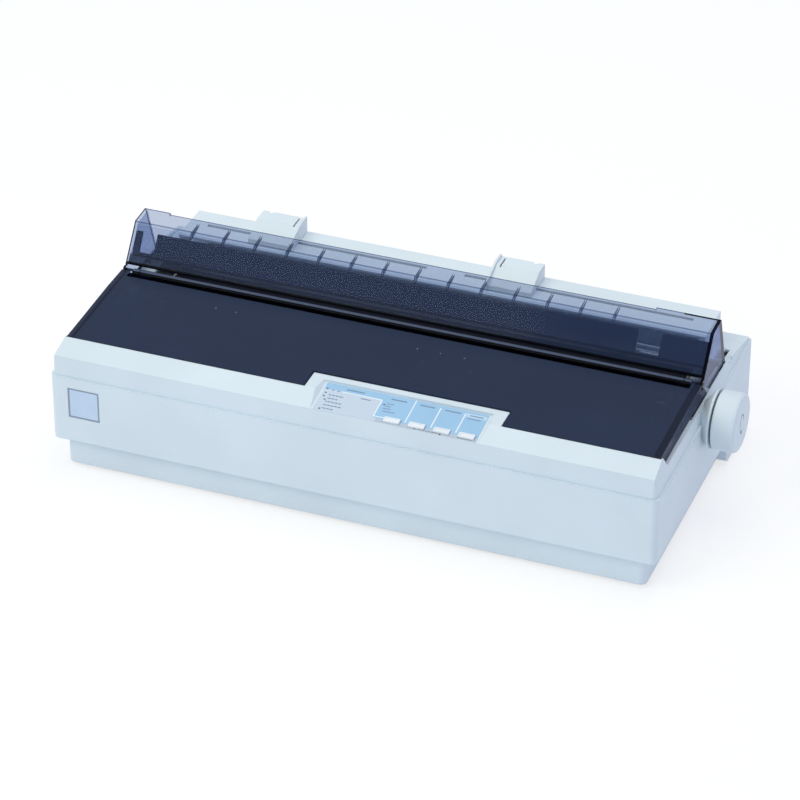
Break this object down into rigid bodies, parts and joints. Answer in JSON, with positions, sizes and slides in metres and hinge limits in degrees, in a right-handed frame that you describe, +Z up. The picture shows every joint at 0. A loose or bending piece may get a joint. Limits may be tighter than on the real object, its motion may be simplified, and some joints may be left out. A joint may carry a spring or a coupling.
{
  "type": "dot matrix printer",
  "caption": "Wide-carriage dot matrix printer with a smoked hinged cover and hood, sloping control panel, platen knob and rear paper guide.",
  "frame": {"origin": "under the middle of the bounding box, on the floor", "axes": "+X to the right along the width, +Y to the rear, +Z up"},
  "size_m": [0.575, 0.275, 0.158],
  "materials": {
    "casing_plastic": "fine matt grain",
    "guide_plastic": "fine matt grain",
    "smoked_plastic": "smoked, translucent, glossy",
    "dark_plastic": "matt",
    "blue_plastic": "satin",
    "gear_plastic": "natural white",
    "overlay_film": "printed film, satin",
    "button_plastic": "satin",
    "black_rubber": "matt",
    "zinc_steel": "zinc plated",
    "bright_steel": "ground",
    "motor_steel": "dark painted",
    "head_aluminium": "cast",
    "pinion_brass": "turned",
    "circuit_board": "solder resist",
    "supply_board": "paper laminate",
    "winding": "varnished",
    "ribbon_fabric": "inked"
  },
  "bodies": {
    "casing_body": {"lower_case": "casing_plastic", "top_case": "casing_plastic", "rubber_feet": "black_rubber", "case_screws": "zinc_steel", "mechanism_frame": "zinc_steel", "carriage_guide_shaft": "bright_steel", "front_rail": "zinc_steel", "platen_bushes": "dark_plastic", "paper_chute": "dark_plastic", "carriage_motor": "motor_steel", "feed_motor": "motor_steel", "carriage_belt": "black_rubber", "main_board": "circuit_board", "power_board": "supply_board", "transformer": "winding", "power_inlet": "dark_plastic", "parallel_port": "zinc_steel", "slot_cover": "casing_plastic", "ribbon_cartridge": "dark_plastic", "ink_ribbon": "ribbon_fabric", "panel_board": "circuit_board", "panel_overlay": "overlay_film", "badge_plate": "casing_plastic", "tractor_guide_shaft": "bright_steel", "switch_housing": "dark_plastic"},
    "hood_body": {"hood": "smoked_plastic", "paper_tension_plate": "dark_plastic"},
    "cover_body": {"front_cover": "smoked_plastic"},
    "platen_body": {"platen_shaft": "bright_steel", "platen_roller": "black_rubber", "platen_knob": "casing_plastic", "platen_gear": "gear_plastic"},
    "feed_idler_body": {"feed_idler_gear": "gear_plastic"},
    "pinion_body": {"feed_motor_pinion": "pinion_brass"},
    "pressure_body": {"pressure_rollers": "black_rubber"},
    "tractor_idler_body": {"tractor_idler_gear": "gear_plastic"},
    "tractor_drive_body": {"tractor_drive_shaft": "gear_plastic"},
    "carriage_body": {"carriage": "dark_plastic", "print_head": "head_aluminium", "ribbon_mask": "bright_steel"},
    "motor_pulley_body": {"motor_pulley": "gear_plastic"},
    "idler_pulley_body": {"idler_pulley": "gear_plastic"},
    "left_tractor_body": {"tractor_left": "guide_plastic"},
    "right_tractor_body": {"tractor_right": "guide_plastic"},
    "left_pin_wheel_body": {"pin_wheel_left": "gear_plastic"},
    "right_pin_wheel_body": {"pin_wheel_right": "gear_plastic"},
    "left_door_body": {"tractor_door_left": "guide_plastic"},
    "right_door_body": {"tractor_door_right": "guide_plastic"},
    "paper_guide_body": {"paper_guide": "guide_plastic"},
    "left_edge_guide_body": {"edge_guide_left": "guide_plastic"},
    "right_edge_guide_body": {"edge_guide_right": "guide_plastic"},
    "release_lever_body": {"release_lever": "blue_plastic"},
    "gap_lever_body": {"gap_lever": "blue_plastic"},
    "ribbon_knob_body": {"ribbon_knob": "blue_plastic"},
    "rocker_body": {"power_rocker": "dark_plastic"},
    "button_1_body": {"button_1": "button_plastic"},
    "button_2_body": {"button_2": "button_plastic"},
    "button_3_body": {"button_3": "button_plastic"},
    "button_4_body": {"button_4": "button_plastic"}
  },
  "joints": [
    {"name": "hood_hinge", "type": "hinge", "parent": "casing_body", "child": "hood_body", "pos_m": [-0.0145, 0.0665, 0.104], "axis": [-1, 0, 0], "range_deg": [0, 40]},
    {"name": "cover_hinge", "type": "hinge", "parent": "hood_body", "child": "cover_body", "pos_m": [-0.0145, 0.0055, 0.122], "axis": [-1, 0, 0], "range_deg": [0, 95]},
    {"name": "platen_spin", "type": "hinge", "parent": "casing_body", "child": "platen_body", "pos_m": [-0.0145, 0.004, 0.0915], "axis": [1, 0, 0], "continuous": true},
    {"name": "feed_idler_spin", "type": "hinge", "parent": "casing_body", "child": "feed_idler_body", "pos_m": [0.233, -0.00968, 0.05391], "axis": [1, 0, 0], "continuous": true},
    {"name": "pinion_spin", "type": "hinge", "parent": "casing_body", "child": "pinion_body", "pos_m": [0.233, 0.00833, 0.04351], "axis": [1, 0, 0], "continuous": true},
    {"name": "pressure_roller_spin", "type": "hinge", "parent": "casing_body", "child": "pressure_body", "pos_m": [-0.0145, 0.00977, 0.06996], "axis": [1, 0, 0], "continuous": true},
    {"name": "tractor_idler_spin", "type": "hinge", "parent": "casing_body", "child": "tractor_idler_body", "pos_m": [0.233, 0.05021, 0.08411], "axis": [1, 0, 0], "continuous": true},
    {"name": "tractor_shaft_spin", "type": "hinge", "parent": "casing_body", "child": "tractor_drive_body", "pos_m": [-0.0145, 0.0905, 0.07766], "axis": [1, 0, 0], "continuous": true},
    {"name": "carriage_slide", "type": "slide", "parent": "casing_body", "child": "carriage_body", "axis": [1, 0, 0], "range_m": [-0.235, 0.145]},
    {"name": "motor_pulley_spin", "type": "hinge", "parent": "casing_body", "child": "motor_pulley_body", "pos_m": [-0.2295, -0.0755, 0.067], "axis": [0, 0, 1], "range_deg": [-2200, 2200]},
    {"name": "idler_pulley_spin", "type": "hinge", "parent": "casing_body", "child": "idler_pulley_body", "pos_m": [0.2005, -0.0755, 0.067], "axis": [0, 0, 1], "range_deg": [-2200, 2200]},
    {"name": "left_tractor_slide", "type": "slide", "parent": "casing_body", "child": "left_tractor_body", "axis": [1, 0, 0], "range_m": [-0.055, 0.11]},
    {"name": "right_tractor_slide", "type": "slide", "parent": "casing_body", "child": "right_tractor_body", "axis": [1, 0, 0], "range_m": [-0.11, 0.055]},
    {"name": "left_pin_wheel_spin", "type": "hinge", "parent": "left_tractor_body", "child": "left_pin_wheel_body", "pos_m": [-0.1795, 0.0905, 0.07766], "axis": [1, 0, 0], "continuous": true},
    {"name": "right_pin_wheel_spin", "type": "hinge", "parent": "right_tractor_body", "child": "right_pin_wheel_body", "pos_m": [0.1505, 0.0905, 0.07766], "axis": [1, 0, 0], "continuous": true},
    {"name": "left_door_hinge", "type": "hinge", "parent": "left_tractor_body", "child": "left_door_body", "pos_m": [-0.1869, 0.0925, 0.09156], "axis": [0, -1, 0], "range_deg": [0, 60]},
    {"name": "right_door_hinge", "type": "hinge", "parent": "right_tractor_body", "child": "right_door_body", "pos_m": [0.1579, 0.0925, 0.09156], "axis": [0, 1, 0], "range_deg": [0, 60]},
    {"name": "paper_guide_hinge", "type": "hinge", "parent": "casing_body", "child": "paper_guide_body", "pos_m": [-0.0145, 0.0825, 0.1105], "axis": [-1, 0, 0], "range_deg": [-55, 0]},
    {"name": "left_edge_guide_slide", "type": "slide", "parent": "paper_guide_body", "child": "left_edge_guide_body", "axis": [1, 0, 0], "range_m": [-0.058, 0.13]},
    {"name": "right_edge_guide_slide", "type": "slide", "parent": "paper_guide_body", "child": "right_edge_guide_body", "axis": [1, 0, 0], "range_m": [-0.039, 0.15]},
    {"name": "release_lever_hinge", "type": "hinge", "parent": "casing_body", "child": "release_lever_body", "pos_m": [0.243, 0.0885, 0.055], "axis": [1, 0, 0], "range_deg": [-6, 0]},
    {"name": "gap_lever_hinge", "type": "hinge", "parent": "casing_body", "child": "gap_lever_body", "pos_m": [-0.2595, -0.0355, 0.078], "axis": [1, 0, 0], "range_deg": [-10, 10]},
    {"name": "ribbon_knob_spin", "type": "hinge", "parent": "casing_body", "child": "ribbon_knob_body", "pos_m": [0.1815, -0.0755, 0.109], "axis": [0, 0, 1], "continuous": true},
    {"name": "power_rocker_hinge", "type": "hinge", "parent": "casing_body", "child": "rocker_body", "pos_m": [-0.2809, -0.0835, 0.062], "axis": [0, 0, 1], "range_deg": [-12, 0]},
    {"name": "button_1_press", "type": "slide", "parent": "casing_body", "child": "button_1_body", "axis": [0, -0.1478, 0.989], "range_m": [-0.0012, 0], "stiffness_N_per_m": 400, "springref_m": 0.0005},
    {"name": "button_2_press", "type": "slide", "parent": "casing_body", "child": "button_2_body", "axis": [0, -0.1478, 0.989], "range_m": [-0.0012, 0], "stiffness_N_per_m": 400, "springref_m": 0.0005},
    {"name": "button_3_press", "type": "slide", "parent": "casing_body", "child": "button_3_body", "axis": [0, -0.1478, 0.989], "range_m": [-0.0012, 0], "stiffness_N_per_m": 400, "springref_m": 0.0005},
    {"name": "button_4_press", "type": "slide", "parent": "casing_body", "child": "button_4_body", "axis": [0, -0.1478, 0.989], "range_m": [-0.0012, 0], "stiffness_N_per_m": 400, "springref_m": 0.0005}
  ],
  "couplings": [
    {"joint": "feed_idler_spin", "follows": "platen_spin", "ratio": -1.5},
    {"joint": "pinion_spin", "follows": "platen_spin", "ratio": 5},
    {"joint": "pressure_roller_spin", "follows": "platen_spin", "ratio": -2.6667},
    {"joint": "tractor_idler_spin", "follows": "platen_spin", "ratio": -1.0526},
    {"joint": "tractor_shaft_spin", "follows": "platen_spin", "ratio": 1.3333},
    {"joint": "left_pin_wheel_spin", "follows": "platen_spin", "ratio": 1.3333},
    {"joint": "right_pin_wheel_spin", "follows": "platen_spin", "ratio": 1.3333},
    {"joint": "motor_pulley_spin", "follows": "carriage_slide", "rad_per_m": -151.52},
    {"joint": "idler_pulley_spin", "follows": "carriage_slide", "rad_per_m": -151.52}
  ]
}
